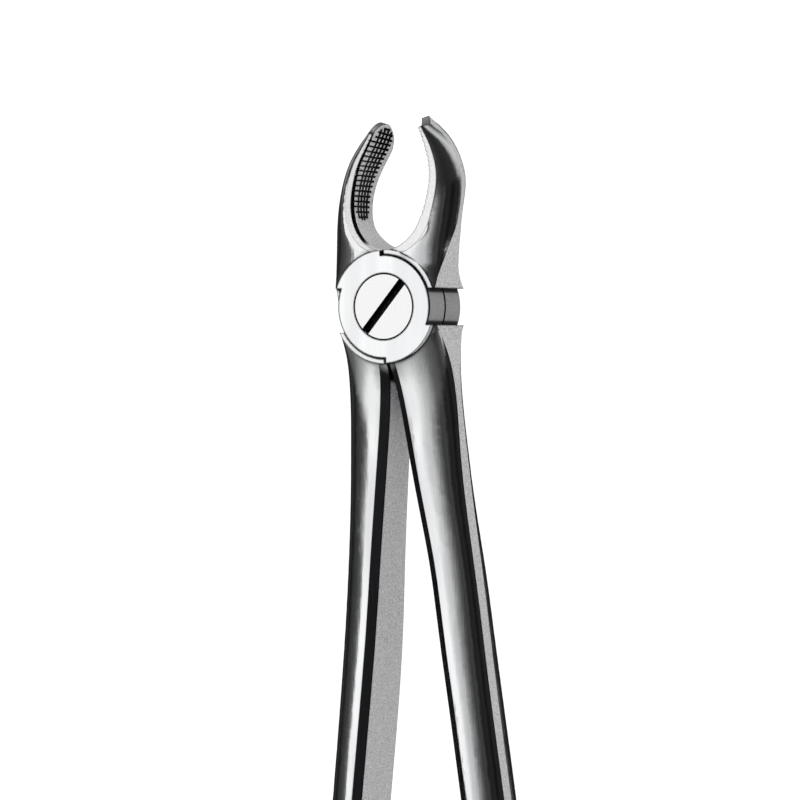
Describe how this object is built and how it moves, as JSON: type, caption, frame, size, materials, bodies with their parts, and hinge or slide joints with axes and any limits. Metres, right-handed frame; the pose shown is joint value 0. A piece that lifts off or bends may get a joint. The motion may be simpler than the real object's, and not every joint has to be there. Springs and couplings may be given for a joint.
{
  "type": "extraction forceps",
  "caption": "Upper-molar extraction forceps: crossed forged halves with serrated beaks and long handles, turning on a slotted screw.",
  "frame": {"origin": "on the screw's axis, in the flat rear face of the joint", "axes": "+Z along the tool from the handles to the beaks, +X from the rounded beak's side to the pointed beak's side (the way it opens), +Y to the rear along the screw's axis; the slotted head faces -Y"},
  "size_m": [0.0416, 0.0221, 0.1739],
  "materials": {
    "front_steel": "polished stainless steel, satin on the inner faces and side flats",
    "rear_steel": "polished stainless steel, satin on the inner faces and side flats",
    "screw_steel": "polished stainless steel"
  },
  "bodies": {
    "front": {"front_half": "front_steel"},
    "rear": {"rear_half": "rear_steel", "joint_screw": "screw_steel"}
  },
  "joints": [
    {"name": "forceps_joint", "type": "hinge", "parent": "front", "child": "rear", "pos_m": [0, -0.0056, 0], "axis": [0, 1, 0], "range_deg": [-1.8, 26]}
  ]
}
